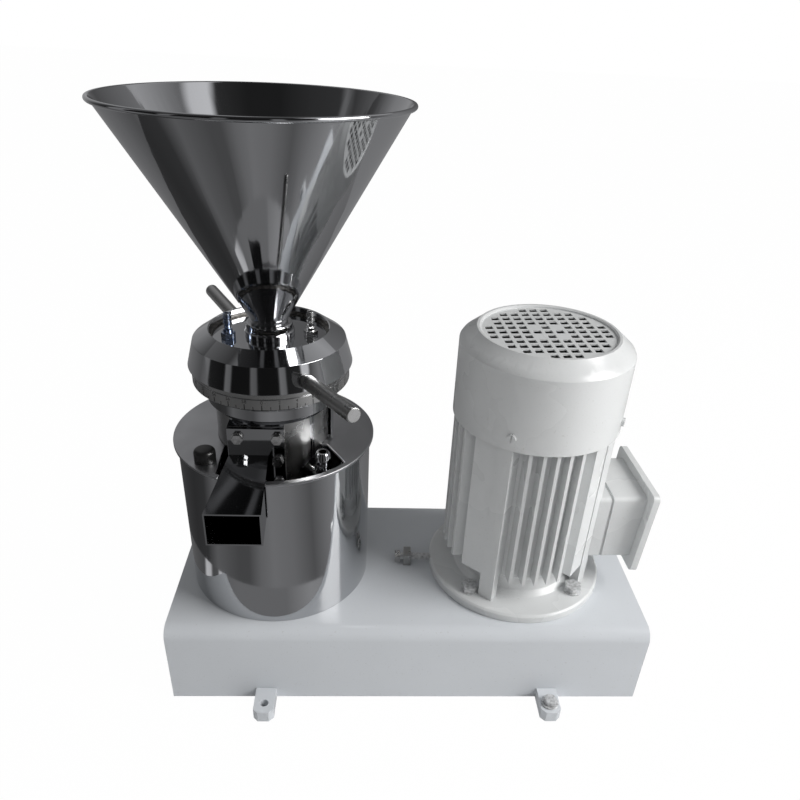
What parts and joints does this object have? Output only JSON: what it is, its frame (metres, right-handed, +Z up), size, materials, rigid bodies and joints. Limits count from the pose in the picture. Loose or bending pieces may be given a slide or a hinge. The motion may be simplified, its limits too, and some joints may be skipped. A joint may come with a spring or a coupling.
{
  "type": "colloid mill",
  "caption": "Tabletop split colloid mill: feed hopper over a toothed conical rotor and stator, threaded gap ring with locking handles, side chute and belt-drive flange motor on a sheet base.",
  "frame": {"origin": "on the floor at the centre of the anchor-lug hole pattern, under the middle of the base box", "axes": "+X along the belt drive from the mill to the motor, +Y to the back, +Z up; the chute points to -Y"},
  "size_m": [0.5437, 0.296, 0.597],
  "materials": {
    "base_paint": "gloss white enamel on folded sheet",
    "motor_paint": "gloss white enamel on cast parts",
    "polished_stainless": "mirror-polished stainless",
    "satin_stainless": "satin stainless",
    "plated_steel": "bright plated steel",
    "ground_steel": "ground steel",
    "tooth_steel": "hardened tooth steel",
    "dark_steel": "dark oxide steel",
    "grey_iron": "machined grey iron",
    "black_plastic": "black moulded plastic",
    "black_rubber": "black rubber",
    "core_steel": "laminated core",
    "winding_copper": "core ring with enamelled copper windings"
  },
  "bodies": {
    "base": {"base_frame": "base_paint", "anchor_lugs": "base_paint", "drum": "polished_stainless", "drum_top_plate": "satin_stainless", "oil_plug": "black_plastic", "bearing_housing": "grey_iron", "mill_bearings": "ground_steel", "bearing_cover": "grey_iron", "mill_housing": "polished_stainless", "housing_bolts": "plated_steel", "seal_seat": "grey_iron", "discharge_chute": "polished_stainless", "chute_gasket": "black_rubber", "chute_bolts": "plated_steel", "drain_fitting": "satin_stainless", "scale_pointer": "satin_stainless", "tension_lug": "dark_steel", "drive_belts": "black_rubber"},
    "stator_carrier": {"stator_carrier": "satin_stainless", "stator": "tooth_steel", "carrier_o_ring": "black_rubber", "hopper": "polished_stainless", "hopper_hub": "polished_stainless", "cooling_nipples": "plated_steel"},
    "adjusting_ring": {"adjusting_ring": "polished_stainless", "retaining_ring": "dark_steel"},
    "handle_front": {"handle_front": "satin_stainless"},
    "handle_rear": {"handle_rear": "satin_stainless"},
    "mill_rotor": {"mill_shaft": "ground_steel", "rotor": "tooth_steel", "rotor_nut": "plated_steel", "mill_pulley": "grey_iron", "mill_inner_rings": "ground_steel", "seal_ring": "black_rubber"},
    "motor": {"motor_flange": "motor_paint", "motor_frame": "motor_paint", "rear_shield": "motor_paint", "stator_core": "winding_copper", "fan_cover": "motor_paint", "fan_cover_screws": "motor_paint", "terminal_box": "motor_paint", "terminal_board": "black_plastic", "terminal_cover": "motor_paint", "terminal_cover_screws": "plated_steel", "cable_plug": "black_plastic", "motor_bolts": "motor_paint", "motor_bearings": "ground_steel"},
    "motor_rotor": {"motor_shaft": "ground_steel", "rotor_core": "core_steel", "fan": "black_plastic", "motor_pulley": "grey_iron", "motor_inner_rings": "ground_steel"},
    "tension_screw": {"tension_screw": "dark_steel"}
  },
  "joints": [
    {"name": "stator_lift", "type": "slide", "parent": "base", "child": "stator_carrier", "axis": [0, 0, 1], "range_m": [0, 0.003]},
    {"name": "ring_turn", "type": "hinge", "parent": "stator_carrier", "child": "adjusting_ring", "pos_m": [-0.148, 0, 0.36], "axis": [0, 0, 1], "range_deg": [0, 270]},
    {"name": "front_handle_lock", "type": "hinge", "parent": "adjusting_ring", "child": "handle_front", "pos_m": [-0.10714, -0.06936, 0.371], "axis": [0.5056, -0.8584, 0.0872], "range_deg": [0, 120]},
    {"name": "rear_handle_lock", "type": "hinge", "parent": "adjusting_ring", "child": "handle_rear", "pos_m": [-0.18886, 0.06936, 0.371], "axis": [-0.5056, 0.8584, 0.0872], "range_deg": [0, 120]},
    {"name": "motor_spin", "type": "hinge", "parent": "motor", "child": "motor_rotor", "pos_m": [0.126, 0, 0.2], "axis": [0, 0, 1], "continuous": true},
    {"name": "mill_spin", "type": "hinge", "parent": "base", "child": "mill_rotor", "pos_m": [-0.148, 0, 0.2], "axis": [0, 0, 1], "continuous": true},
    {"name": "belt_tension", "type": "slide", "parent": "base", "child": "motor", "axis": [1, 0, 0], "range_m": [-0.012, 0]},
    {"name": "tension_screw_travel", "type": "slide", "parent": "base", "child": "tension_screw", "axis": [1, 0, 0], "range_m": [-0.012, 0]}
  ],
  "couplings": [
    {"joint": "stator_lift", "follows": "ring_turn", "m_per_rad": 0.00063662},
    {"joint": "mill_spin", "follows": "motor_spin", "ratio": 1},
    {"joint": "tension_screw_travel", "follows": "belt_tension", "ratio": 1}
  ]
}
